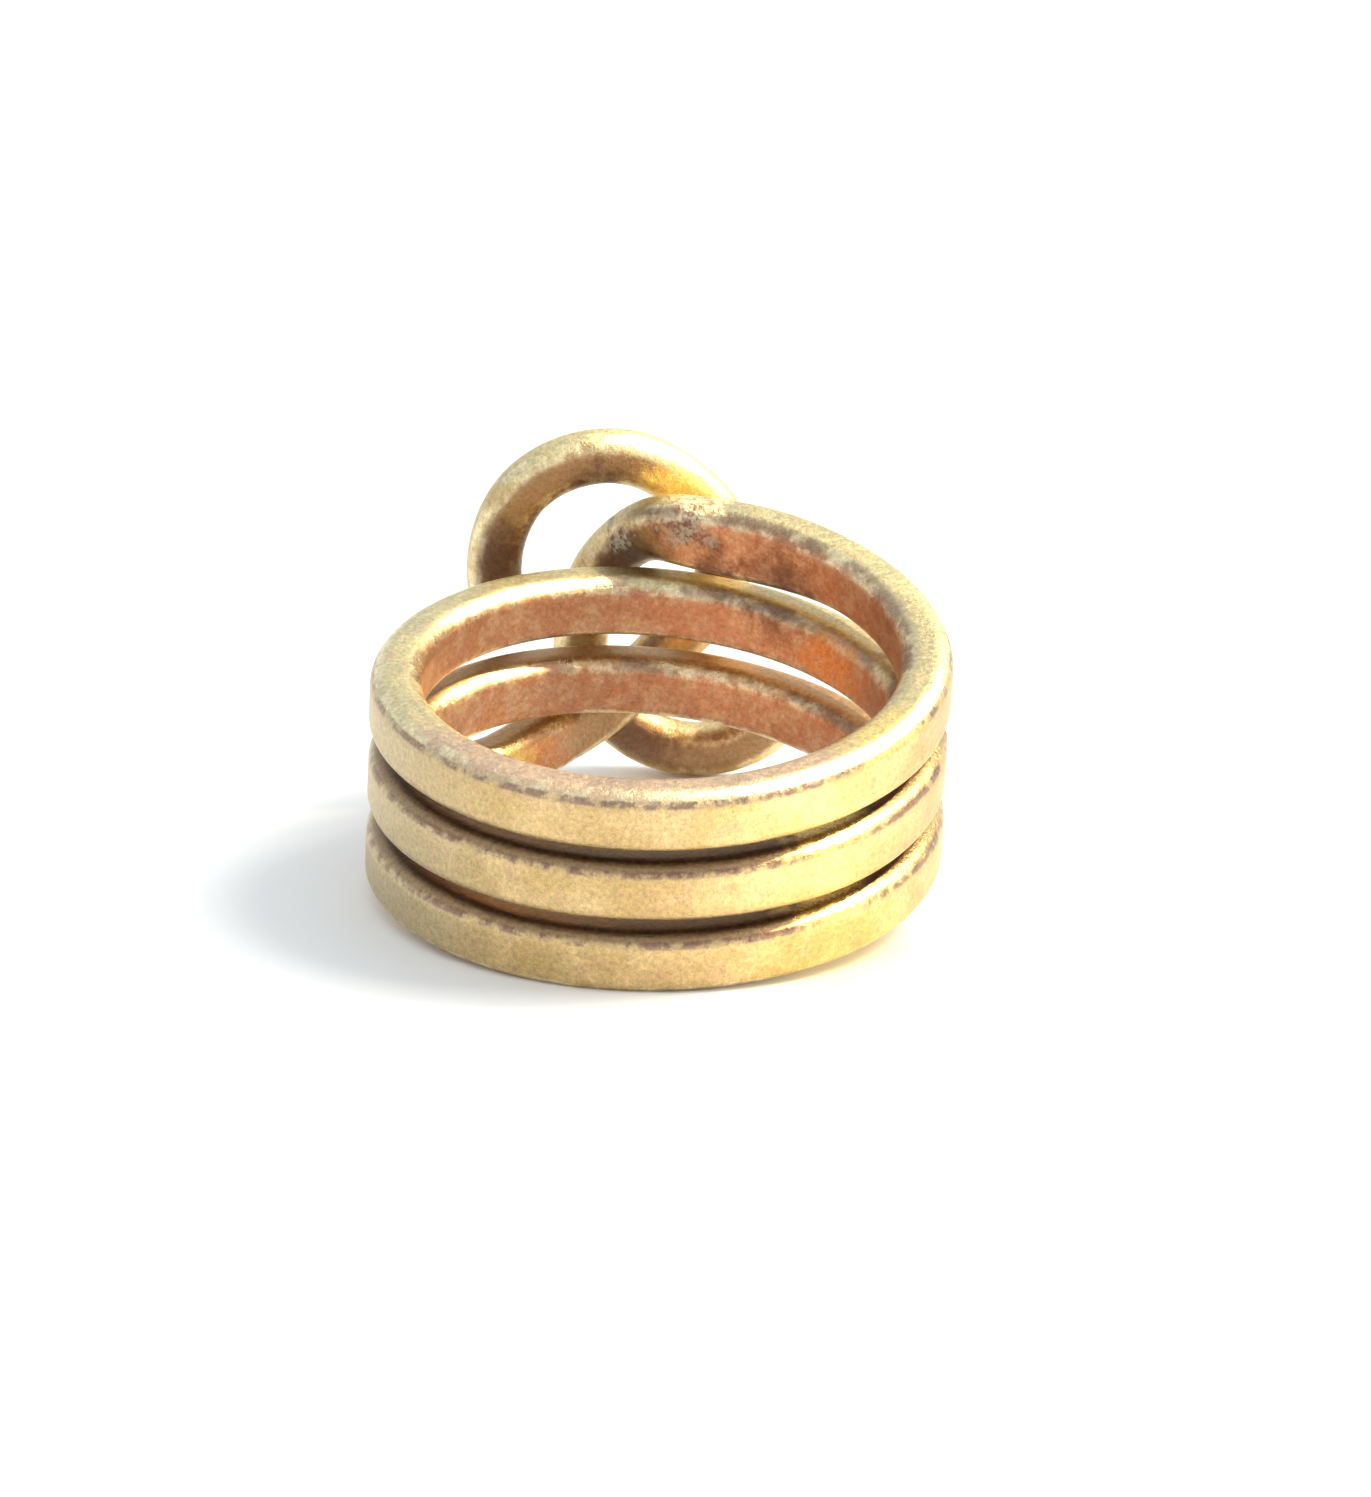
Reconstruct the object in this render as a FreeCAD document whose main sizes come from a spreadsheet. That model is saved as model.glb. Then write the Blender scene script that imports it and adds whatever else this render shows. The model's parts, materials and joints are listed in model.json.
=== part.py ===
"""A two-wire puzzle ring: two heavy brass wires coiled into one finger ring and hooked together.

The coil frame has its origin in the middle of the finger hole and +Z along the hole.
The knot of the two hooks is on the far side, +Y. Lengths are in millimetres and angles in degrees.
"""
import FreeCAD
import Part
import Sketcher
import math
import os

doc = FreeCAD.newDocument("puzzle_ring")
Vector = FreeCAD.Vector

# ---------------------------------------------------------------- driving dimensions
SIZES = [
    ("coil_radius", 9.8, "finger hole axis to the middle of the wire"),
    ("wire_height", 2.38, "wire along the finger hole"),
    ("wire_thickness", 1.96, "wire across, inside face to outside face"),
    ("wire_corner", 0.6, "rounding of the wire's four long edges"),
    ("hook_slimming", 0.1, "share by which a hook is slimmer than the coil"),
    ("pitch_mean", 3.12, "rise of one turn, mean of front and back"),
    ("pitch_swing", 0.24, "extra rise at the back, and the same less at the front"),
    ("turns", 3.0, "turns of coil from one hook to the other"),
    ("knot_angle", 3.4, "turn of the knot's middle from +Y, towards -X"),
    ("hook_depth", 12.6, "finger hole axis to the hooks' own plane"),
    ("upper_take_off", 0.072, "turns from the knot's middle to where the upper wire leaves the coil"),
    ("lower_take_off", 0.098, "the same for the lower wire"),
    ("seam_upper", 1.2222, "turns down to the upper wire's plain end"),
    ("seam_lower", 1.2375, "turns down to the lower wire's plain end"),
    ("end_rounding", 0.45, "rounding of the wires' cut ends"),
    ("tip_rounding", 0.75, "rounding of the hooks' tips"),
    ("coil_step", 15.0, "angle between the path's points on the coil"),
    ("section_step", 1.25, "distance between the sections along the wire"),
    ("rest_pitch", 8.36, "lean of the coil at rest, far side raised"),
    ("rest_roll", 1.65, "lean of the coil at rest, top towards +X"),
]
sheet = doc.addObject("Spreadsheet::Sheet", "sizes")
for row, (alias, value, note) in enumerate(SIZES, start=1):
    sheet.set(f"A{row}", alias)
    sheet.set(f"B{row}", str(value))
    sheet.setAlias(f"B{row}", alias)
    sheet.set(f"C{row}", note)
doc.recompute()

END_SECTIONS = 5  # sections over one rounded end

# ---------------------------------------------------------------- hook routes, chosen by hand
# Points of each wire's middle in the knot's frame: x to the right, y out from the hole's axis, z up.
UPPER_HOOK = [
    (1.8, 9.9, 4.75),
    (0.5, 10.6, 4.5),
    (-0.75, 11.75, 3.4),
    (-1.85, 12.6, 1.6),
    (-2.4, 13.15, -0.9),
    (-2.3, 13.65, -3.1),
    (-1.2, 13.75, -5.0),
    (0.8, 13.4, -6.25),
    (3.2, 12.9, -6.1),
    (5.0, 12.5, -4.75),
    (5.8, 12.3, -2.9),
]
LOWER_HOOK = [
    (-3.9, 9.65, -4.25),
    (-2.9, 10.5, -4.1),
    (-1.7, 11.3, -3.7),
    (-0.4, 12.0, -2.85),
    (0.9, 12.5, -1.6),
    (2.25, 12.8, -0.1),
    (2.95, 12.9, 1.8),
    (2.6, 12.95, 3.65),
    (1.2, 12.95, 5.2),
    (-0.8, 12.75, 6.3),
    (-2.9, 12.5, 6.3),
    (-4.8, 12.3, 5.2),
    (-5.8, 12.3, 3.2),
    (-5.9, 12.3, 1.0),
    (-5.4, 12.2, -1.0),
]


def turned(point, angle):
    """The point turned about the finger hole's axis."""
    return FreeCAD.Rotation(Vector(0, 0, 1), angle).multVec(Vector(*point))


def coil_point(turn):
    """Middle of the wire, counted in turns down from above the far side."""
    angle = math.radians(90 - 360 * turn)
    pitch = sheet.pitch_mean + sheet.pitch_swing * math.sin(angle)
    drop = (turn - sheet.turns / 2) * pitch
    return Vector(sheet.coil_radius * math.cos(angle), sheet.coil_radius * math.sin(angle), -drop)


def coil_points(first, last):
    """Evenly spaced points of the coil between two turn counts."""
    count = math.ceil(abs(last - first) * 360 / sheet.coil_step)
    return [coil_point(first + (last - first) * i / count) for i in range(count + 1)]


def wire_path(label, first, last, hook):
    """One smooth line: the coil from the plain end, then out along the hook."""
    knot = [turned(point, sheet.knot_angle) for point in hook]
    curve = Part.BSplineCurve()
    curve.interpolate(coil_points(first, last) + knot)
    path = doc.addObject("Part::Feature", label)
    path.Shape = curve.toShape()
    return path


def wire_section():
    """The rounded rectangle that both wires are drawn to, thickness along x and height along y."""
    section = doc.addObject("Sketcher::SketchObject", "wire_section")
    half_x = sheet.wire_thickness / 2
    half_y = sheet.wire_height / 2
    corner = sheet.wire_corner
    flat_x = half_x - corner
    flat_y = half_y - corner
    normal = Vector(0, 0, 1)
    sides = [
        ((-flat_x, -half_y), (flat_x, -half_y)),
        ((half_x, -flat_y), (half_x, flat_y)),
        ((flat_x, half_y), (-flat_x, half_y)),
        ((-half_x, flat_y), (-half_x, -flat_y)),
    ]
    corners = [(flat_x, -flat_y), (flat_x, flat_y), (-flat_x, flat_y), (-flat_x, -flat_y)]
    for start, end in sides:
        section.addGeometry(Part.LineSegment(Vector(*start, 0), Vector(*end, 0)), False)
    for quarter, (x, y) in enumerate(corners):
        circle = Part.Circle(Vector(x, y, 0), normal, corner)
        begin = math.radians(90 * quarter - 90)
        section.addGeometry(Part.ArcOfCircle(circle, begin, begin + math.pi / 2), False)
    for side in range(4):
        arc = side + 4
        section.addConstraint(Sketcher.Constraint("Tangent", side, 2, arc, 1))
        section.addConstraint(Sketcher.Constraint("Tangent", arc, 2, (side + 1) % 4, 1))
    section.addConstraint(Sketcher.Constraint("Horizontal", 0))
    section.addConstraint(Sketcher.Constraint("Vertical", 1))
    section.addConstraint(Sketcher.Constraint("Equal", 4, 5))
    section.addConstraint(Sketcher.Constraint("Equal", 5, 6))
    section.addConstraint(Sketcher.Constraint("Symmetric", 0, 1, 2, 1, -1, 1))
    driven = [
        ("DistanceY", (0, 1, 2, 1), sheet.wire_height, "sizes.wire_height"),
        ("DistanceX", (3, 1, 1, 1), sheet.wire_thickness, "sizes.wire_thickness"),
        ("Radius", (4,), sheet.wire_corner, "sizes.wire_corner"),
    ]
    for kind, where, size, alias in driven:
        index = section.addConstraint(Sketcher.Constraint(kind, *where, size))
        section.setExpression(f"Constraints[{index}]", alias)
    return section


def outward(point):
    """Which way the wire's outer face looks, and how far the point is on its way out to a hook."""
    radial = Vector(point.x, point.y, 0)
    reach = (radial.Length - sheet.coil_radius) / (sheet.hook_depth - sheet.coil_radius)
    reach = min(max(reach, 0.0), 1.0)
    share = reach * reach * (3 - 2 * reach)
    knot = turned((0, 1, 0), sheet.knot_angle)
    return radial.normalize() * (1 - share) + knot * share, share


def placed_section(section, curve, at, shrink):
    """The wire's section at one place on its path, its thickness turned outward."""
    middle = curve.value(at)
    along = curve.tangent(at)[0]
    facing, share = outward(middle)
    across = (facing - along * facing.dot(along)).normalize()
    up = along.cross(across)
    outline = section.Shape.copy()
    outline.scale(shrink * (1 - sheet.hook_slimming * share))
    outline.Placement = FreeCAD.Placement(middle, FreeCAD.Rotation(across, up, along, "ZXY"))
    return outline


def lofted(section, curve, places):
    """A solid through the wire's section at each (distance, size) along its path."""
    outlines = []
    for away, size in places:
        at = curve.parameterAtDistance(away) if away > 0 else curve.FirstParameter
        outlines.append(placed_section(section, curve, at, size))
    return Part.makeLoft(outlines, True, False, False)


def rounded_end(radius, cut, inward):
    """Distances along a wire over one rounded end, each with its share of the full size."""
    for step in range(END_SECTIONS):
        angle = math.pi / 2 * step / (END_SECTIONS - 1)
        inset = radius * (1 - math.sin(angle))
        yield cut + inward * radius * (1 - math.cos(angle)), 1 - 2 * inset / sheet.wire_thickness


def wire(label, path, section):
    """One wire: the section carried along the whole path, with both cut ends rounded."""
    curve = path.Shape.Curve
    length = curve.length()
    first = sheet.end_rounding
    span = length - first - sheet.tip_rounding
    count = round(span / sheet.section_step)
    body = lofted(section, curve, [(first + span * i / count, 1.0) for i in range(count + 1)])
    plain_end = lofted(section, curve, rounded_end(first, 0.0, 1))
    tip = lofted(section, curve, rounded_end(sheet.tip_rounding, length, -1))
    piece = doc.addObject("Part::Feature", label)
    piece.Label = label
    piece.Shape = body.fuse([plain_end, tip]).Solids[0]
    return piece


def rest_placement(pieces):
    """Stands the ring as it lies on a table: leaning, lowest point at zero, box centred on the origin."""
    pitch = FreeCAD.Rotation(Vector(1, 0, 0), sheet.rest_pitch)
    roll = FreeCAD.Rotation(Vector(0, 1, 0), sheet.rest_roll)
    lean = FreeCAD.Placement(Vector(), roll.multiply(pitch))
    box = FreeCAD.BoundBox()
    for piece in pieces:
        leaning = piece.Shape.copy()
        leaning.Placement = lean
        box.add(leaning.optimalBoundingBox())
    lean.Base = Vector(-box.Center.x, -box.Center.y, -box.ZMin)
    return lean


take_off = -sheet.knot_angle / 360
section = wire_section()
doc.recompute()
upper_path = wire_path("upper_path", sheet.seam_upper, take_off + sheet.upper_take_off, UPPER_HOOK)
lower_last = sheet.turns + take_off - sheet.lower_take_off
lower_path = wire_path("lower_path", sheet.seam_lower, lower_last, LOWER_HOOK)
pieces = [wire("upper_wire", upper_path, section), wire("lower_wire", lower_path, section)]
resting = rest_placement(pieces)
for piece in pieces:
    piece.Placement = resting
doc.recompute()

for item in doc.Objects:
    if "Invalid" in item.State or "Error" in item.State:
        raise RuntimeError(f"{item.Label} failed: {item.State}")
for piece in pieces:
    if piece.Shape.isNull() or not piece.Shape.isValid():
        raise RuntimeError(f"{piece.Label} has a bad shape")

os.makedirs("parts", exist_ok=True)
for piece in pieces:
    piece.Shape.exportStep(f"parts/{piece.Label}.step")
    print(piece.Label, "volume", round(piece.Shape.Volume, 2), "faces", len(piece.Shape.Faces))
hole_middle = resting.Base
hole_axis = resting.Rotation.multVec(Vector(0, 0, 1))
print("finger hole middle", hole_middle, "axis", hole_axis)
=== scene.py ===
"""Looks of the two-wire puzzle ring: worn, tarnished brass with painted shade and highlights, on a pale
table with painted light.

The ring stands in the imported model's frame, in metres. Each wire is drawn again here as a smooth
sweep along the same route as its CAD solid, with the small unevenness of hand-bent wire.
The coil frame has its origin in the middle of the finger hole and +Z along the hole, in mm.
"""
import json
import math

import bpy
import numpy as np
from mathutils import Matrix, Vector


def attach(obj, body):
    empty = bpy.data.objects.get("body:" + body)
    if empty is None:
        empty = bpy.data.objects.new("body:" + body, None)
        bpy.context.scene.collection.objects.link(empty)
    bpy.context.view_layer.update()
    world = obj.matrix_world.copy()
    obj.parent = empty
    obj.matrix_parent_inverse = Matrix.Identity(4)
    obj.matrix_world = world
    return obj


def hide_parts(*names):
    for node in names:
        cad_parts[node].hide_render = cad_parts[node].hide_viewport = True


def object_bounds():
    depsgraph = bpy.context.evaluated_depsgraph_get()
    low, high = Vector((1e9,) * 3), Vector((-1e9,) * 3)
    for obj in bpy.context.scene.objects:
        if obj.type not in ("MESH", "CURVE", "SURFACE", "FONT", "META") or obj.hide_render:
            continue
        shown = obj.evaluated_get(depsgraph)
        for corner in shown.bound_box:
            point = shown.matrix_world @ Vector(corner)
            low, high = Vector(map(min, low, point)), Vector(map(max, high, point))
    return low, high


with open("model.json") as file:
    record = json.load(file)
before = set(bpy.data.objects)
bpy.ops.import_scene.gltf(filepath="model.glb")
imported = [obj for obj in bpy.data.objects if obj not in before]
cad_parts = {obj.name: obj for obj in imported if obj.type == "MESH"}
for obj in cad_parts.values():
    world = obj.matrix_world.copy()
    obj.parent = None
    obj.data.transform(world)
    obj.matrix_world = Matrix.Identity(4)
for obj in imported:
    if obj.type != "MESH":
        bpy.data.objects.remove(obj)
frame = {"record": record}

MM = 0.001
cad_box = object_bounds()

# ---------------------------------------------------------------- the wires' dimensions, in mm
COIL_RADIUS = 9.8  # finger hole axis to the middle of the wire
WIRE_HEIGHT = 2.38  # along the finger hole
WIRE_THICKNESS = 1.96  # inside face to outside face
TOP_CORNER = 0.74  # rounding of the coil's upper edges
BOTTOM_CORNER = 0.42  # rounding of the coil's lower edges
HOOK_CORNER = 0.92  # rounding of all four edges on the hooks
END_ROUNDING = 0.45  # rounding of the plain ends
TIP_ROUNDING = 0.85  # rounding of the hooks' tips
HOOK_SLIMMING = 0.1  # share by which a hook is slimmer than the coil
KINK_SWELLING = 0.32  # share by which the upper wire is higher where it leaves the coil
KINK_MIDDLE = 0.6  # from the end of the coil to the middle of that swelling
KINK_REACH = 5.5  # from the middle of the swelling to where it ends
PITCH_MEAN = 3.12  # rise of one turn, mean of front and back
PITCH_SWING = 0.24  # extra rise at the back, and the same less at the front
TURNS = 3.0  # turns of coil from one hook to the other
COIL_STEP = 15.0  # degrees between the route's points on the coil
SEAM_UPPER = 1.2222  # turns down to the upper wire's plain end
SEAM_LOWER = 1.2375  # turns down to the lower wire's plain end
KNOT_ANGLE = 3.4  # degrees from +Y to the knot's middle, towards -X
HOOK_DEPTH = 12.6  # finger hole axis to the hooks' own plane
UPPER_TAKE_OFF = 0.072  # turns from the knot's middle to where the upper wire leaves the coil
LOWER_TAKE_OFF = 0.098  # the same for the lower wire

# Hand-bent wire: how far it wanders, as a share of its size and in mm from its route, and over what length.
SIZE_WANDER, SIZE_SPACING = 0.008, 4.3
UP_WANDER, UP_SPACING = 0.022, 6.7
ACROSS_WANDER, ACROSS_SPACING = 0.016, 5.1
WANDER_FADE = 2.0  # the wander dies away over this length at each end
UPPER_SEED = 11
LOWER_SEED = 47

# Points of each hook in the knot's frame: x to the right, y out from the hole's axis, z up.
UPPER_HOOK = [
    (1.8, 9.9, 4.75),
    (0.5, 10.6, 4.5),
    (-0.75, 11.75, 3.4),
    (-1.85, 12.6, 1.6),
    (-2.4, 13.15, -0.9),
    (-2.3, 13.65, -3.1),
    (-1.2, 13.75, -5.0),
    (0.8, 13.4, -6.25),
    (3.2, 12.9, -6.1),
    (5.0, 12.5, -4.75),
    (5.8, 12.3, -2.9),
]
LOWER_HOOK = [
    (-3.9, 9.65, -4.25),
    (-2.9, 10.5, -4.1),
    (-1.7, 11.3, -3.7),
    (-0.4, 12.0, -2.85),
    (0.9, 12.5, -1.6),
    (2.25, 12.8, -0.1),
    (2.95, 12.9, 1.8),
    (2.6, 12.95, 3.65),
    (1.2, 12.95, 5.2),
    (-0.8, 12.75, 6.3),
    (-2.9, 12.5, 6.3),
    (-4.8, 12.3, 5.2),
    (-5.8, 12.3, 3.2),
    (-5.9, 12.3, 1.0),
    (-5.4, 12.2, -1.0),
]

# ---------------------------------------------------------------- the coil's place in the frame
twist = frame["record"]["behaviour"]["joints"][0]
hole_axis = Vector(twist["axis"]).normalized()
hole_middle = Vector(twist["pos_m"])
rest_pitch = math.asin(-hole_axis.y)
rest_roll = math.atan2(hole_axis.x, hole_axis.z)
rest_turn = Matrix.Rotation(rest_roll, 3, "Y") @ Matrix.Rotation(rest_pitch, 3, "X")
COIL_TO_WORLD = np.array(rest_turn)
HOLE_MIDDLE = np.array(hole_middle)
KNOT_TURNS = -KNOT_ANGLE / 360


def to_world(points):
    """Points in the coil frame, in mm, as points in the model's frame, in metres."""
    return points @ COIL_TO_WORLD.T * MM + HOLE_MIDDLE


# ---------------------------------------------------------------- the wires' routes
def on_coil(turn, radius=COIL_RADIUS):
    """Points of the coil, by turns down from above the far side."""
    angle = np.radians(90 - 360 * turn)
    pitch = PITCH_MEAN + PITCH_SWING * np.sin(angle)
    drop = (turn - TURNS / 2) * pitch
    return np.stack([radius * np.cos(angle), radius * np.sin(angle), -drop], axis=-1)


def coil_points(first, last):
    """Evenly spaced middles of the wire between two turn counts."""
    count = math.ceil(abs(last - first) * 360 / COIL_STEP)
    return on_coil(first + (last - first) * np.arange(count + 1) / count)


def from_knot(points):
    """Points turned from the knot's frame to the coil frame."""
    angle = math.radians(KNOT_ANGLE)
    x, y, z = np.asarray(points, float).T
    turned_x = x * math.cos(angle) - y * math.sin(angle)
    turned_y = x * math.sin(angle) + y * math.cos(angle)
    return np.stack([turned_x, turned_y, z], axis=1)


class Spline:
    """A natural cubic spline through points, by the distance between them."""

    def __init__(self, points):
        step = np.linalg.norm(np.diff(points, axis=0), axis=1)
        slope = np.diff(points, axis=0) / step[:, None]
        system = np.eye(len(points))
        slope_change = np.zeros_like(points)
        for i in range(1, len(points) - 1):
            system[i, i - 1:i + 2] = (step[i - 1], 2 * (step[i - 1] + step[i]), step[i])
            slope_change[i] = 6 * (slope[i] - slope[i - 1])
        self.points = points
        self.knots = np.concatenate([[0.0], np.cumsum(step)])
        self.bend = np.linalg.solve(system, slope_change)
        self.length = self.knots[-1]

    def at(self, places):
        """Points and unit directions at places along the spline."""
        last = len(self.knots) - 2
        i = np.clip(np.searchsorted(self.knots, places, side="right") - 1, 0, last)
        step = (self.knots[i + 1] - self.knots[i])[:, None]
        b = (places - self.knots[i])[:, None] / step
        a = 1 - b
        low, high = self.points[i], self.points[i + 1]
        bend_low, bend_high = self.bend[i], self.bend[i + 1]
        where = a * low + b * high
        where += ((a ** 3 - a) * bend_low + (b ** 3 - b) * bend_high) * step ** 2 / 6
        along = (high - low) / step
        along += ((3 * b ** 2 - 1) * bend_high - (3 * a ** 2 - 1) * bend_low) * step / 6
        return where, unit(along)


def unit(vectors):
    return vectors / np.linalg.norm(vectors, axis=-1, keepdims=True)


# ---------------------------------------------------------------- the wires' surface
ALONG_STEP = 0.15  # between two rings of points, in mm
CORNER_POINTS = 9  # in each corner's arc
FLAT_POINTS = 9  # on each flat face
END_RINGS = 7  # over each rounded end
FAR_AWAY = 9.0  # in mm, further than any neighbour that matters
SEARCH_PART = 4000  # points measured at once
NEIGHBOUR_START = 8.0  # a wire counts as its own neighbour from this distance along it
GROOVE_EDGE = 2.75  # distance to a neighbour's middle where a groove starts
GROOVE_FLOOR = 1.95  # and where it is fully deep
KNOT_SIDE_LIT_REACH = 6.0  # the grooves' painted shade fades from the hole's middle to this far towards the knot, which is lit from behind
KNOT_SIDE_LIT_SHARE = 0.88  # and is this much lighter from there on


def eased(share):
    """A share from 0 to 1 with a smooth start and end."""
    return share * share * (3 - 2 * share)


def wave(length, spacing, seed):
    """A gentle random wave along a wire, from -1 to 1, as a function of the distance."""
    rng = np.random.default_rng(seed)
    knots = np.arange(-2 * spacing, length + 2 * spacing, spacing)
    values = rng.uniform(-1, 1, len(knots))

    def at(where):
        place = (where - knots[0]) / spacing
        i = np.clip(place.astype(int), 0, len(knots) - 2)
        share = eased(place - i)
        return values[i] * (1 - share) + values[i + 1] * share

    return at


def section_outline(radii):
    """The rounded rectangle: points and normals, thickness along x and height along y.

    The four corners' radii run from outer and high, over inner and high, round to outer and low.
    """
    signs = np.array([(1, 1), (-1, 1), (-1, -1), (1, -1)])
    half = np.array([WIRE_THICKNESS, WIRE_HEIGHT]) / 2
    corners = signs * (half - np.array(radii)[:, None])
    points, normals = [], []
    for quarter in range(4):
        turn = np.radians(90 * quarter + np.linspace(0, 90, CORNER_POINTS))
        around = np.stack([np.cos(turn), np.sin(turn)], axis=1)
        arc = corners[quarter] + radii[quarter] * around
        after = (quarter + 1) % 4
        following = corners[after] + radii[after] * around[-1]
        share = np.linspace(0, 1, FLAT_POINTS + 2)[1:-1, None]
        points += [arc, arc[-1] * (1 - share) + following * share]
        normals += [around, np.repeat(around[-1:], FLAT_POINTS, axis=0)]
    return np.vstack(points), np.vstack(normals)


def along_places(length):
    """Distances along a wire, each with how far the rounded ends draw its surface in."""
    def dome(radius):
        angle = np.linspace(0, math.pi / 2, END_RINGS)
        return radius * (1 - np.cos(angle)), radius * (1 - np.sin(angle))

    start, start_inset = dome(END_ROUNDING)
    tip, tip_inset = dome(TIP_ROUNDING)
    count = int((length - END_ROUNDING - TIP_ROUNDING) / ALONG_STEP)
    body = np.linspace(END_ROUNDING, length - TIP_ROUNDING, count + 1)[1:-1]
    places = np.concatenate([start, body, length - tip[::-1]])
    inset = np.concatenate([start_inset, np.zeros(len(body)), tip_inset[::-1]])
    return places, inset


def swept(first, last, hook, corners, seed, swelling=0.0):
    """One wire in the coil frame: rings of points, what the finish needs to know of each, and its middle.

    The swelling at the kink is a share of the height, on the section's upper side only.
    """
    spline = Spline(np.vstack([coil_points(first, last), from_knot(hook)]))
    length = spline.length
    places, inset = along_places(length)
    middle, along = spline.at(places)

    radius = np.hypot(middle[:, 0], middle[:, 1])
    reach = np.clip((radius - COIL_RADIUS) / (HOOK_DEPTH - COIL_RADIUS), 0, 1)
    share = eased(reach)[:, None]
    radial = np.stack([middle[:, 0], middle[:, 1], 0 * radius], axis=1) / radius[:, None]
    knot = from_knot([(0, 1, 0)])
    facing = radial * (1 - share) + knot * share
    across = unit(facing - along * np.sum(facing * along, axis=1)[:, None])
    up = np.cross(along, across)

    # its size and its line wander a little, and the size is never above the full one
    end_fade = np.clip(np.minimum(places, length - places) / WANDER_FADE, 0, 1)[:, None]
    size_wave = wave(length, SIZE_SPACING, seed)(places)[:, None]
    up_wave = wave(length, UP_SPACING, seed + 1)(places)[:, None]
    across_wave = wave(length, ACROSS_SPACING, seed + 2)(places)[:, None]
    size = 1 - HOOK_SLIMMING * share - SIZE_WANDER + SIZE_WANDER * size_wave
    middle = middle + up * end_fade * UP_WANDER * up_wave
    middle = middle + across * end_fade * ACROSS_WANDER * across_wave * (1 - share)

    coil_outline, normals = section_outline(corners)
    hook_outline, _ = section_outline([HOOK_CORNER] * 4)
    outline = coil_outline[None] * (1 - share[:, None]) + hook_outline[None] * share[:, None]
    outline = outline * size[:, None]
    coil_end = 2 * math.pi * COIL_RADIUS * abs(last - first)
    kink = np.clip(1 - np.abs(places - coil_end - KINK_MIDDLE) / KINK_REACH, 0, 1)
    kink = eased(kink)[:, None]
    height = outline[..., 1]
    outline[..., 1] = np.where(height > 0, height * (1 + swelling * kink), height)
    outline = outline - normals[None] * inset[:, None, None]
    rings = middle[:, None] + across[:, None] * outline[..., :1] + up[:, None] * outline[..., 1:]

    count = len(outline[0])
    facts = {
        "face_out": np.repeat(normals[None, :, 0], len(places), axis=0),
        "face_side": np.repeat(normals[None, :, 1], len(places), axis=0),
        "face_top": up[:, 2:] * normals[None, :, 1] + across[:, 2:] * normals[None, :, 0],
        "along": np.repeat(places[:, None], count, axis=1),
        "hook": np.repeat(share, count, axis=1),
    }
    return rings, facts, middle


def mesh_of(name, rings, facts):
    """A closed tube from rings of points, with its facts as point attributes."""
    rows, count = rings.shape[:2]
    points = rings.reshape(-1, 3)
    ends = rings[[0, -1]].mean(axis=1)
    points = np.clip(to_world(np.vstack([points, ends])), *np.array(cad_box))
    row, column = np.meshgrid(np.arange(rows - 1), np.arange(count), indexing="ij")
    after = (column + 1) % count
    near, far = row * count, (row + 1) * count
    quads = np.stack([near + column, near + after, far + after, far + column], axis=-1)
    faces = [tuple(quad) for quad in quads.reshape(-1, 4).tolist()]
    first_end, last_end = rows * count, rows * count + 1
    for i in range(count):
        j = (i + 1) % count
        faces.append((first_end, j, i))
        faces.append((last_end, (rows - 1) * count + i, (rows - 1) * count + j))
    mesh = bpy.data.meshes.new(name)
    mesh.from_pydata(points.tolist(), [], faces)
    mesh.validate()
    for fact, values in facts.items():
        attribute = mesh.attributes.new(fact, "FLOAT", "POINT")
        flat = values.reshape(-1)
        attribute.data.foreach_set("value", np.concatenate([flat, flat[[0, -1]]]).astype(np.float32))
    mesh.shade_smooth()
    mesh.update()
    return mesh


def shelter(rings, middles, own):
    """How deep each point sits beside another turn or wire, for the grooves' painted shade: 0 in the open,
    1 in a groove, and less towards the knot.
    """
    points = rings.reshape(-1, 3)
    along_own = np.repeat(np.arange(rings.shape[0]), rings.shape[1])
    nearest = np.full(len(points), FAR_AWAY)
    for index, middle in enumerate(middles):
        for start in range(0, len(points), SEARCH_PART):
            part = slice(start, start + SEARCH_PART)
            apart = np.linalg.norm(points[part, None] - middle[None, ::2], axis=2)
            if index == own:
                steps = np.abs(along_own[part, None] - np.arange(len(middle))[None, ::2])
                apart[steps * ALONG_STEP < NEIGHBOUR_START] = FAR_AWAY
            nearest[part] = np.minimum(nearest[part], apart.min(axis=1))
    deep = np.clip((GROOVE_EDGE - nearest) / (GROOVE_EDGE - GROOVE_FLOOR), 0, 1)
    # the painted shade is lighter on the knot's side, which is lit from behind
    lit_from_behind = np.clip(points[:, 1] / KNOT_SIDE_LIT_REACH, 0, 1) * KNOT_SIDE_LIT_SHARE
    return (eased(deep) * (1 - lit_from_behind)).reshape(rings.shape[:2])


high_corners = [TOP_CORNER, TOP_CORNER, BOTTOM_CORNER, BOTTOM_CORNER]
upper_rings, upper_facts, upper_middle = swept(
    SEAM_UPPER, KNOT_TURNS + UPPER_TAKE_OFF, UPPER_HOOK, high_corners[::-1], UPPER_SEED, KINK_SWELLING)
lower_rings, lower_facts, lower_middle = swept(
    SEAM_LOWER, TURNS + KNOT_TURNS - LOWER_TAKE_OFF, LOWER_HOOK, high_corners, LOWER_SEED)
middles = [upper_middle, lower_middle]
upper_facts["groove"] = shelter(upper_rings, middles, 0)
lower_facts["groove"] = shelter(lower_rings, middles, 1)


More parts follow.
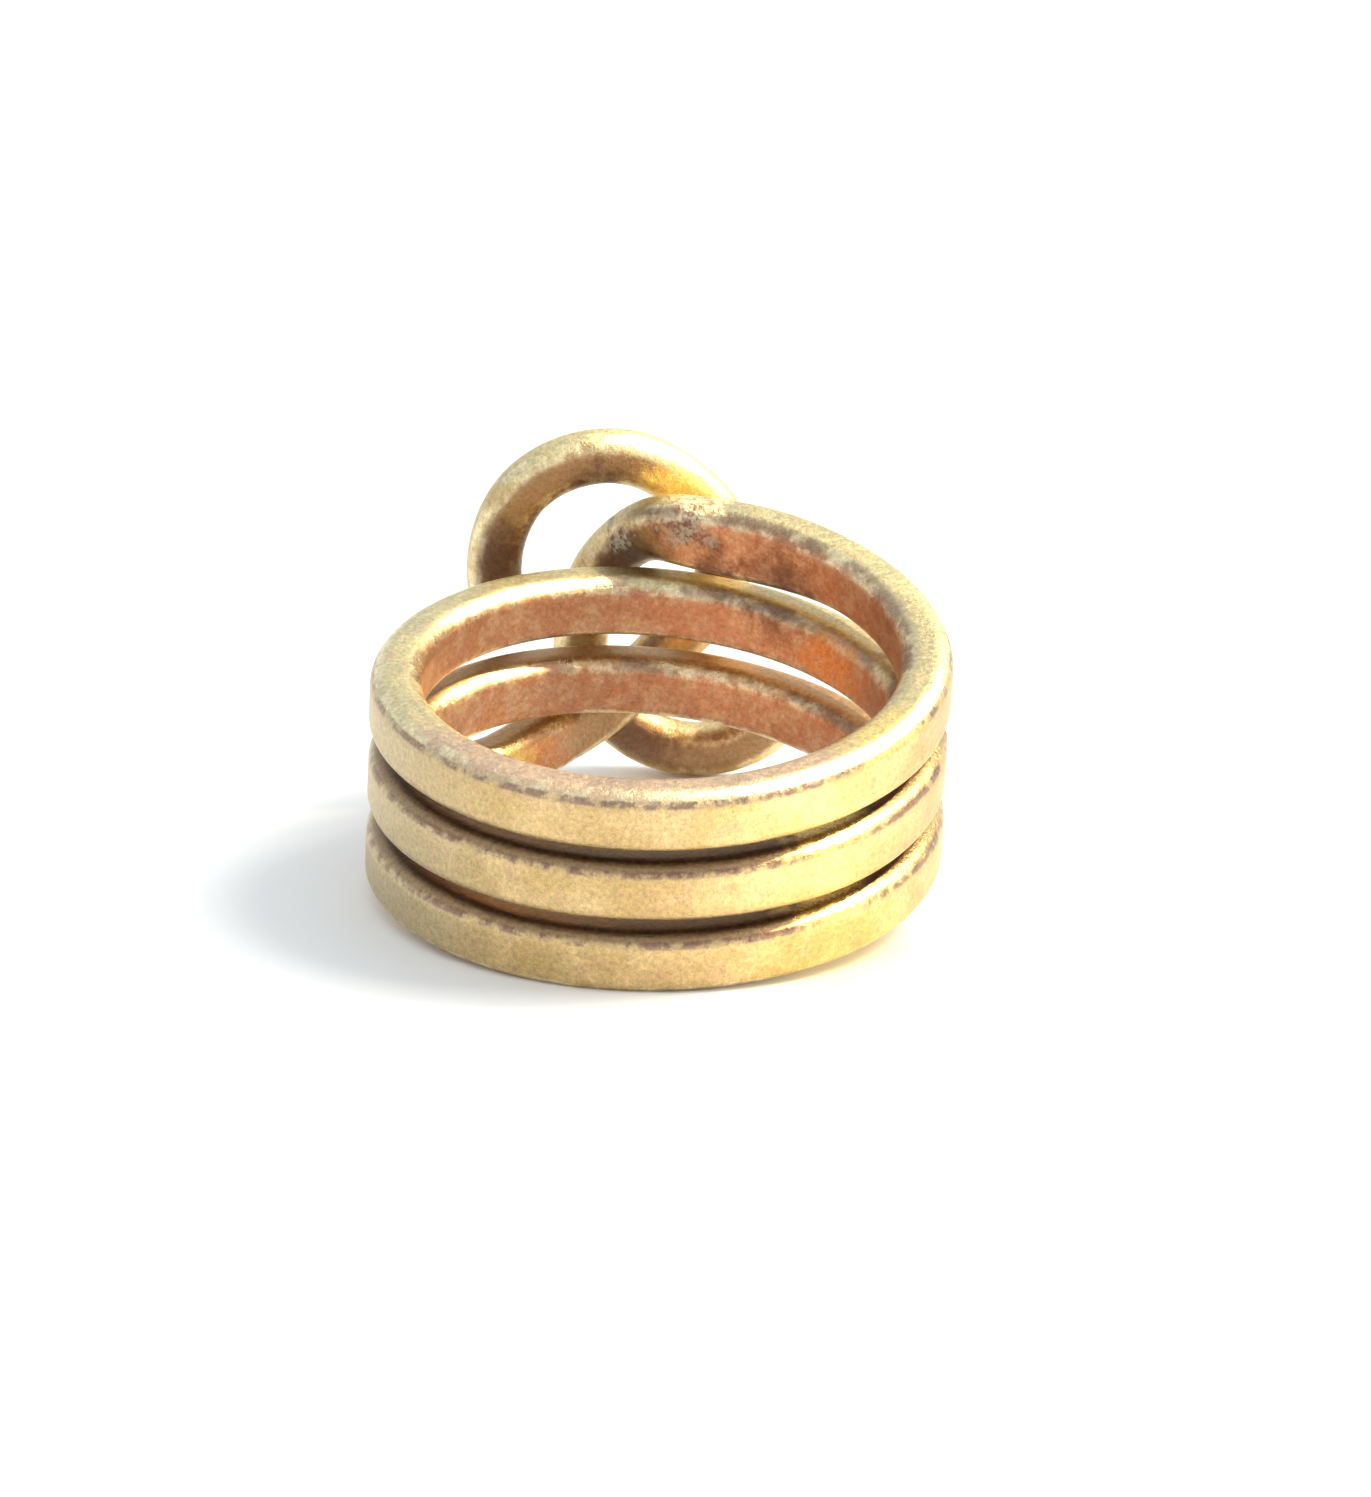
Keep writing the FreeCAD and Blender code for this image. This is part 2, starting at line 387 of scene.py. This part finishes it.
# ---------------------------------------------------------------- the brass
class Nodes:
    """Short ways to write one material's nodes."""

    def __init__(self, tree):
        self.tree = tree
        tree.nodes.clear()
        self.place = self.millimetres()

    def millimetres(self):
        """Object coordinates in mm."""
        place = self.add("ShaderNodeTexCoord").outputs["Object"]
        node = self.add("ShaderNodeVectorMath", {"operation": "SCALE"}, Vector=place, Scale=1 / MM)
        return node.outputs["Vector"]

    def add(self, kind, settings=(), **sockets):
        node = self.tree.nodes.new(kind)
        for name, value in dict(settings).items():
            setattr(node, name, value)
        for name, value in sockets.items():
            self.put(node.inputs[name.replace("_", " ")], value)
        return node

    def put(self, socket, value):
        if isinstance(value, bpy.types.NodeSocket):
            self.tree.links.new(value, socket)
        else:
            socket.default_value = value

    def math(self, operation, first, second=0.0):
        node = self.add("ShaderNodeMath", {"operation": operation})
        for socket, value in zip(node.inputs, (first, second)):
            self.put(socket, value)
        return node.outputs[0]

    def plus(self, first, second):
        return self.math("ADD", first, second)

    def minus(self, first, second):
        return self.math("SUBTRACT", first, second)

    def times(self, first, second):
        return self.math("MULTIPLY", first, second)

    def larger(self, first, second):
        return self.math("MAXIMUM", first, second)

    def absolute(self, value):
        return self.math("ABSOLUTE", value)

    def fact(self, name):
        return self.add("ShaderNodeAttribute", {"attribute_name": name}).outputs["Fac"]

    def step(self, value, low, high):
        """0 below low and 1 above high, with a smooth rise between."""
        node = self.add("ShaderNodeMapRange", {"interpolation_type": "SMOOTHSTEP"}, Value=value)
        node.inputs["From Min"].default_value = low
        node.inputs["From Max"].default_value = high
        return node.outputs["Result"]

    def noise(self, place, scale, detail=3.0, roughness=0.55):
        node = self.add("ShaderNodeTexNoise", Vector=place, Scale=scale, Detail=detail)
        self.put(node.inputs["Roughness"], roughness)
        return node.outputs["Fac"]

    def mix(self, share, first, second):
        node = self.add("ShaderNodeMix", {"data_type": "RGBA"})
        self.put(node.inputs["Factor"], share)
        self.put(node.inputs[6], first)
        self.put(node.inputs[7], second)
        return node.outputs[2]

    def paint(self, colour, share, strength, over):
        """A colour with another over it: wholly where the share and the strength are both 1."""
        return self.mix(self.times(share, strength), colour, over)

    def distance(self, point):
        """How far away a point is, in mm."""
        node = self.add("ShaderNodeVectorMath", {"operation": "DISTANCE"}, Vector=self.place)
        node.inputs[1].default_value = point
        return node.outputs["Value"]


GOLD = (0.70, 0.505, 0.25, 1)
GOLD_DEEP = (0.58, 0.405, 0.18, 1)
GOLD_GREEN = (0.57, 0.505, 0.30, 1)
MAUVE = (0.60, 0.41, 0.32, 1)
# painted shade on the left side
LEFT_SHADE_GOLD = (0.50, 0.405, 0.24, 1)
WORN_EDGE = (0.92, 0.80, 0.50, 1)
COPPER = (0.50, 0.245, 0.135, 1)
COPPER_PALE = (0.58, 0.36, 0.215, 1)
BRONZE = (0.34, 0.225, 0.115, 1)
# painted shade: dark between the turns in the grooves, brown on the bevels above them
GROOVE_SHADE = (0.19, 0.120, 0.062, 1)
SHADED_BEVEL_BROWN = (0.27, 0.165, 0.075, 1)
MAROON = (0.20, 0.10, 0.075, 1)
# an orange tone, and on the lower wire a painted orange glint
ORANGE_TONE_AND_GLINT = (0.80, 0.30, 0.07, 1)
# darker patches inside the loops
DARK_PATCH = (0.15, 0.085, 0.06, 1)
# painted highlight: the colour of the painted shines and glints
PAINTED_HIGHLIGHT = (1.0, 0.76, 0.25, 1)
SCAR_GREY = (0.50, 0.48, 0.38, 1)
FAR_TOP_UPPER = (0.57, 0.505, 0.30, 1)
FAR_TOP_LOWER = (0.46, 0.26, 0.12, 1)

# how much each kind of unevenness changes the brightness
SPECKLE_CONTRAST = 1.35
GRAIN_CONTRAST = 0.3

# roughness of plain brass, and what each thing adds or takes away
PLAIN_ROUGHNESS = 0.24
SPECKLE_ROUGHNESS = 0.20
PATCH_ROUGHNESS = 0.05
HOOK_ROUGHNESS = 0.08
SCAR_ROUGHNESS = 0.2
WORN_POLISH = 0.08
GLINT_POLISH = 0.12

# relief of the surface, in mm before the bump's own strength
BUMP_STRENGTH = 0.6
BLOTCH_RELIEF = 0.08
SPECKLE_RELIEF = 0.045
GRAIN_RELIEF = 0.008
DRAWN_RELIEF = 0.012
SCAR_RELIEF = 0.08
DRAWN_LENGTH = 0.25  # faint drawing lines: slow along the wire
DRAWN_WIDTH = 9.0  # and fast across it


class Brass(Nodes):
    """Aged brass, layer by layer: yellow and worn outside, coppery inside, with painted shade in the
    grooves.
    """

    def __init__(self, tree):
        super().__init__(tree)
        self.out, self.side = self.fact("face_out"), self.fact("face_side")
        self.top = self.fact("face_top")
        self.groove, self.hook = self.fact("groove"), self.fact("hook")
        self.patches = self.noise(self.place, 0.42, 3.0, 0.6)
        self.blotches = self.noise(self.place, 1.3, 4.0, 0.65)
        self.speckle = self.noise(self.place, 5.5, 4.0, 0.75)
        self.grain = self.noise(self.place, 22.0, 2.0, 0.6)
        self.wander = self.minus(self.blotches, 0.5)
        self.inward = self.times(self.out, -1.0)
        self.hook_inside = self.times(self.hook, self.side)
        self.inside = self.plus(self.uneven(self.inward, 0.5), self.times(self.hook_inside, 0.35))

    def uneven(self, value, amount):
        """A value whose steps follow the blotches."""
        return self.plus(value, self.times(self.wander, amount))

    def outer_faces(self, far_top):
        """Yellow, with painted shade on the left, greener where it looks up, and mauve on top at the front.
        """
        position = self.add("ShaderNodeSeparateXYZ", Vector=self.place).outputs
        left = self.step(position["X"], -4.5, -9.5)
        front = self.step(position["Y"], -6.5, -9.5)
        back = self.step(position["Y"], -4.0, 2.0)
        colour = self.mix(self.step(self.patches, 0.38, 0.62), GOLD_DEEP, GOLD)
        # painted shade: duller on the left
        colour = self.paint(colour, left, 0.85, LEFT_SHADE_GOLD)
        back_top = self.mix(self.step(self.hook, 0.1, 0.5), far_top, GOLD_GREEN)
        top = self.paint(self.mix(back, GOLD_GREEN, back_top), front, 0.8, MAUVE)
        colour = self.paint(colour, self.step(self.uneven(self.top, 1.2), 0.15, 0.75), 0.85, top)
        return self.paint(colour, self.step(self.blotches, 0.53, 0.68), 0.5, COPPER_PALE)

    def inner_faces(self, colour):
        """Copper, and bronze on the hooks."""
        copper = self.mix(self.step(self.blotches, 0.40, 0.64), COPPER, COPPER_PALE)
        copper = self.paint(copper, self.step(self.hook, 0.0, 0.35), 0.85, BRONZE)
        return self.mix(self.step(self.inside, 0.62, 0.90), colour, copper)

    def worn_edges(self, colour):
        """Bright worn edges, except in the grooves. Also how worn each place is."""
        edge = self.step(self.times(self.absolute(self.out), self.absolute(self.side)), 0.15, 0.42)
        worn = self.times(edge, self.step(self.blotches, 0.38, 0.60))
        worn = self.times(worn, self.minus(1.0, self.times(self.groove, 0.8)))
        return self.paint(colour, worn, 0.6, WORN_EDGE), worn

    def groove_shade_and_rim(self, colour):
        """Painted shade: dark in the grooves, with brown bevels above them; and a maroon rim on top of the
        inner faces.
        """
        # painted shade in the grooves: brown on the bevels, dark between the turns
        in_groove_shade = self.step(self.uneven(self.groove, 0.9), 0.1, 0.8)
        shaded_bevel = self.times(self.step(self.uneven(self.top, 0.3), 0.30, 0.62), in_groove_shade)
        colour = self.paint(colour, shaded_bevel, 0.85, SHADED_BEVEL_BROWN)
        between = self.step(self.uneven(self.absolute(self.side), 0.3), 0.66, 0.98)
        colour = self.paint(colour, self.times(in_groove_shade, between), 0.9, GROOVE_SHADE)
        rim = self.times(self.step(self.inward, 0.15, 0.6), self.step(self.top, 0.2, 0.7))
        rim = self.times(rim, self.step(self.noise(self.place, 0.5), 0.44, 0.56))
        return self.paint(colour, rim, 0.7, MAROON)

    def crest(self, colour):
        """A thin broken dark line just above the outer faces."""
        line = self.minus(self.step(self.out, 0.72, 0.84), self.step(self.out, 0.93, 0.99))
        line = self.times(line, self.step(self.top, 0.02, 0.12))
        line = self.times(line, self.step(self.blotches, 0.40, 0.56))
        return self.paint(colour, line, 0.75, MAROON)

    def spots(self, colour, spots, faces, strength, over, ragged, inner=0.2):
        """Ragged round spots of a colour on some faces. Also where they are."""
        covered = 0.0
        for middle, size in spots:
            away = self.uneven(self.distance(world_mm(middle)), ragged)
            share = self.times(self.minus(1.0, self.step(away, size * inner, size)), faces)
            colour = self.paint(colour, share, strength, over)
            covered = self.larger(covered, share)
        return colour, covered

    def brightness(self, colour):
        """The colour with its fine specks and grain."""
        specks = self.plus(self.times(self.minus(self.speckle, 0.5), SPECKLE_CONTRAST), 1.0)
        value = self.plus(specks, self.times(self.minus(self.grain, 0.5), GRAIN_CONTRAST))
        return self.add("ShaderNodeHueSaturation", Color=colour, Value=value).outputs[0]

    def roughness(self, worn, scarred, painted_glint_places):
        rough = self.plus(PLAIN_ROUGHNESS, self.times(self.speckle, SPECKLE_ROUGHNESS))
        rough = self.plus(rough, self.times(self.step(self.patches, 0.35, 0.65), PATCH_ROUGHNESS))
        rough = self.plus(rough, self.times(self.hook, HOOK_ROUGHNESS))
        rough = self.plus(rough, self.times(scarred, SCAR_ROUGHNESS))
        rough = self.minus(rough, self.times(worn, WORN_POLISH))
        return self.minus(rough, self.times(painted_glint_places, GLINT_POLISH))

    def relief(self, scarred):
        """Fine pitting, with faint drawing lines along the wire."""
        lines = self.add("ShaderNodeCombineXYZ", X=self.times(self.fact("along"), DRAWN_LENGTH))
        self.put(lines.inputs["Y"], self.times(self.out, DRAWN_WIDTH))
        self.put(lines.inputs["Z"], self.times(self.side, DRAWN_WIDTH))
        drawn = self.noise(lines.outputs[0], 1.0, 3.0, 0.6)
        height = self.times(self.times(self.speckle, scarred), SCAR_RELIEF)
        for part, relief in (
            (self.speckle, SPECKLE_RELIEF),
            (self.blotches, BLOTCH_RELIEF),
            (self.grain, GRAIN_RELIEF),
            (drawn, DRAWN_RELIEF),
        ):
            height = self.plus(height, self.times(part, relief))
        bump = self.add("ShaderNodeBump", Strength=BUMP_STRENGTH, Distance=MM, Height=height)
        return bump.outputs[0]


def brass(name, far_top, scars=(), dark_patches=(), orange_tones_and_glints=(), painted_shines=(), painted_glints=()):
    """One wire's brass. Each scar, dark patch, orange spot, painted shine or painted glint is a place in
    the coil frame and a size.
    """
    material = bpy.data.materials.new(name)
    material.use_nodes = True
    n = Brass(material.node_tree)
    colour, worn = n.worn_edges(n.inner_faces(n.outer_faces(far_top)))
    colour = n.crest(n.groove_shade_and_rim(colour))
    inner, inner_wide = n.step(n.inward, 0.3, 0.8), n.step(n.inward, 0.1, 0.5)
    upper = n.step(n.top, 0.15, 0.45)
    in_loops = n.step(n.larger(n.inside, n.hook_inside), 0.35, 0.75)
    mottle = n.mix(n.step(n.noise(n.place, 3.0, 3.0, 0.7), 0.40, 0.56), MAROON, SCAR_GREY)
    # orange tones, and a painted orange glint
    colour, _ = n.spots(colour, orange_tones_and_glints, inner, 0.75, ORANGE_TONE_AND_GLINT, 4.0, 0.0)
    colour, _ = n.spots(colour, dark_patches, in_loops, 0.8, DARK_PATCH, 3.0)
    # painted highlights: shines on inner faces, and glints on top bevels, which are also smoother
    colour, _ = n.spots(colour, painted_shines, inner_wide, 0.8, PAINTED_HIGHLIGHT, 2.0)
    colour, painted_glint_places = n.spots(colour, painted_glints, upper, 0.85, PAINTED_HIGHLIGHT, 3.5)
    colour, scarred = n.spots(colour, scars, 1.0, 0.8, mottle, 4.0, 0.4)
    shader = n.add("ShaderNodeBsdfPrincipled", Metallic=1.0)
    n.put(shader.inputs["Base Color"], n.brightness(colour))
    n.put(shader.inputs["Roughness"], n.roughness(worn, scarred, painted_glint_places))
    n.put(shader.inputs["Normal"], n.relief(scarred))
    n.add("ShaderNodeOutputMaterial", Surface=shader.outputs[0])
    return material


def world_mm(point):
    """A point in the coil frame as object coordinates in mm."""
    return to_world(np.array(point, float)) / MM


def coil_place(turn, lift=0.0, inward=WIRE_THICKNESS / 2):
    """A point this far inward of the wire's middle at a turn count, in the coil frame."""
    return on_coil(turn, COIL_RADIUS - inward) + (0, 0, lift)


def knot_place(x, y, z):
    return from_knot([(x, y, z)])[0]


TOP_EDGE = 0.9  # above the wire's middle
OUTSIDE = -0.5  # just outside the wire's middle
upper_brass = brass(
    "worn_brass_upper",
    FAR_TOP_UPPER,
    scars=[(knot_place(1.6, 10.0, 5.3), 1.8), (knot_place(-0.9, 11.3, 3.9), 0.9)],
    dark_patches=[
        (knot_place(5.0, 7.8, 3.3), 2.6),
        (knot_place(-0.9, 11.2, 3.2), 2.4),
        (knot_place(-0.6, 13.0, -5.4), 3.6),
        (knot_place(2.6, 9.2, 3.8), 1.6),
    ],
    orange_tones_and_glints=[(coil_place(1.13), 2.6)],
    # painted glint on a top bevel at the front
    painted_glints=[(coil_place(0.352, TOP_EDGE, OUTSIDE), 3.0)],
)
lower_brass = brass(
    "worn_brass_lower",
    FAR_TOP_LOWER,
    dark_patches=[
        (knot_place(-5.6, 11.8, 2.4), 3.0),
        (knot_place(2.6, 12.3, 2.2), 2.2),
        (knot_place(-2.0, 11.8, 5.4), 1.6),
    ],
    # painted highlight: an orange glint on an inner face of the lowest turn
    orange_tones_and_glints=[(coil_place(2.88), 4.0)],
    # painted highlights: on the hook's inner face, and above the orange glint
    painted_shines=[(knot_place(1.2, 12.2, 5.2), 2.2), (coil_place(2.88, 0.6), 2.2)],
    # painted glints on the top bevels of two turns at the front
    painted_glints=[(coil_place(turn, TOP_EDGE, OUTSIDE), 2.6) for turn in (1.392, 2.386)],
)

for node, slot, rings, facts, material in (
    ("upper_wire", "upper_brass", upper_rings, upper_facts, upper_brass),
    ("lower_wire", "lower_brass", lower_rings, lower_facts, lower_brass),
):
    mesh = mesh_of(f"worn_{node}", rings, facts)
    mesh.materials.append(material)
    piece = bpy.data.objects.new(f"worn_{node}", mesh)
    bpy.context.scene.collection.objects.link(piece)
    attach(piece, node)
    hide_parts(node)

# ---------------------------------------------------------------- the table
TABLE_SIDE = 3.0
PAPER = (0.90, 0.90, 0.895, 1)
PAPER_ROUGHNESS = 0.85
PAINTED_BOUNCE_LIGHT = (0.90, 0.84, 0.50, 1)  # painted light: the warm light thrown down by the brass, painted into the paper
WARM_MIDDLE, WARM_INNER, WARM_OUTER = (8.5, -9.5, 0.0), 1.5, 6.5
PAINTED_GLOW_COLOUR = (1.0, 0.92, 0.72, 1)  # painted glow: the table's front right end glows of itself, for the brass to reflect
GLOW_MIDDLE, GLOW_INNER, GLOW_OUTER = (24.0, -22.0, 0.0), 4.0, 26.0
PAINTED_GLOW_STRENGTH = 2.2


def pale_table():
    material = bpy.data.materials.new("pale_table")
    material.use_nodes = True
    n = Nodes(material.node_tree)
    # painted glow at the table's front right end
    painted_glow = n.minus(1.0, n.step(n.distance(GLOW_MIDDLE), GLOW_INNER, GLOW_OUTER))
    painted_bounce = n.minus(1.0, n.step(n.distance(WARM_MIDDLE), WARM_INNER, WARM_OUTER))
    shader = n.add("ShaderNodeBsdfPrincipled", Roughness=PAPER_ROUGHNESS)
    # painted light from the brass on the paper
    n.put(shader.inputs["Base Color"], n.mix(painted_bounce, PAPER, PAINTED_BOUNCE_LIGHT))
    n.put(shader.inputs["Emission Color"], PAINTED_GLOW_COLOUR)
    n.put(shader.inputs["Emission Strength"], n.times(painted_glow, PAINTED_GLOW_STRENGTH))
    n.add("ShaderNodeOutputMaterial", Surface=shader.outputs[0])
    return material


half_side = TABLE_SIDE / 2
table_corners = [(x * half_side, y * half_side, 0) for x, y in ((-1, -1), (1, -1), (1, 1), (-1, 1))]
table_mesh = bpy.data.meshes.new("table")
table_mesh.from_pydata(table_corners, [], [(0, 1, 2, 3)])
table_mesh.materials.append(pale_table())
table = bpy.data.objects.new("table", table_mesh)
bpy.context.scene.collection.objects.link(table)

# ---------------------------------------------------------------- the light
WORLD_COLOUR = (0.90, 0.955, 1.0, 1)
WORLD_STRENGTH = 1.02
SUN_FROM = math.radians(97.0)  # from straight in front, towards the right
SUN_HEIGHT = math.radians(50.0)
SUN_COLOUR = (1.0, 0.95, 0.86)
GLINT_COLOUR = (1.0, 0.84, 0.45)

world = bpy.data.worlds.new("studio")
bpy.context.scene.world = world
world.use_nodes = True
background = world.node_tree.nodes["Background"]
background.inputs["Color"].default_value = WORLD_COLOUR
background.inputs["Strength"].default_value = WORLD_STRENGTH
sun_along_ground = Vector((math.sin(SUN_FROM), -math.cos(SUN_FROM), 0))
toward_sun = sun_along_ground * math.cos(SUN_HEIGHT) + Vector((0, 0, math.sin(SUN_HEIGHT)))


def sunlight(name, strength, width, colour):
    """Sunlight through a window of this angular width, in degrees."""
    light = bpy.data.lights.new(name, "SUN")
    light.energy = strength
    light.angle = math.radians(width)
    light.color = colour
    lamp = bpy.data.objects.new(name, light)
    bpy.context.scene.collection.objects.link(lamp)
    lamp.rotation_mode = "QUATERNION"
    lamp.rotation_quaternion = toward_sun.to_track_quat("Z", "Y")
    return lamp


sunlight("window", 2.6, 30, SUN_COLOUR)
glint = sunlight("glint", 14.0, 2, GLINT_COLOUR)
glint.visible_diffuse = False

# ---------------------------------------------------------------- the camera
CAMERA_TILT = math.radians(27.4)  # its view's tilt down from the coil's own level
CAMERA_ROLL = math.radians(2.7)
CAMERA_DISTANCE = 0.290  # from the finger hole's middle, in metres
CAMERA_RIGHT = 0.00104  # and these to the side and up, for the photo's framing
CAMERA_UP = 0.00038
CAMERA_LENS = 187.25
CAMERA_SENSOR = 36
CAMERA_NEAR = 0.01

back = Vector((0, -math.cos(CAMERA_TILT), math.sin(CAMERA_TILT)))
level_right = Vector((1, 0, 0))
level_up = Vector((0, math.sin(CAMERA_TILT), math.cos(CAMERA_TILT)))
right = level_right * math.cos(CAMERA_ROLL) + level_up * math.sin(CAMERA_ROLL)
up = level_up * math.cos(CAMERA_ROLL) - level_right * math.sin(CAMERA_ROLL)
back, right, up = (rest_turn @ axis for axis in (back, right, up))
camera_turn = Matrix((right, up, back)).transposed().to_4x4()
stand = hole_middle + back * CAMERA_DISTANCE + right * CAMERA_RIGHT + up * CAMERA_UP
camera = bpy.data.cameras.new("camera")
camera.lens = CAMERA_LENS
camera.sensor_width = CAMERA_SENSOR
camera.clip_start = CAMERA_NEAR
camera_object = bpy.data.objects.new("camera", camera)
bpy.context.scene.collection.objects.link(camera_object)
camera_object.matrix_world = Matrix.Translation(stand) @ camera_turn
bpy.context.scene.camera = camera_object
bpy.context.scene.view_settings.view_transform = "Standard"
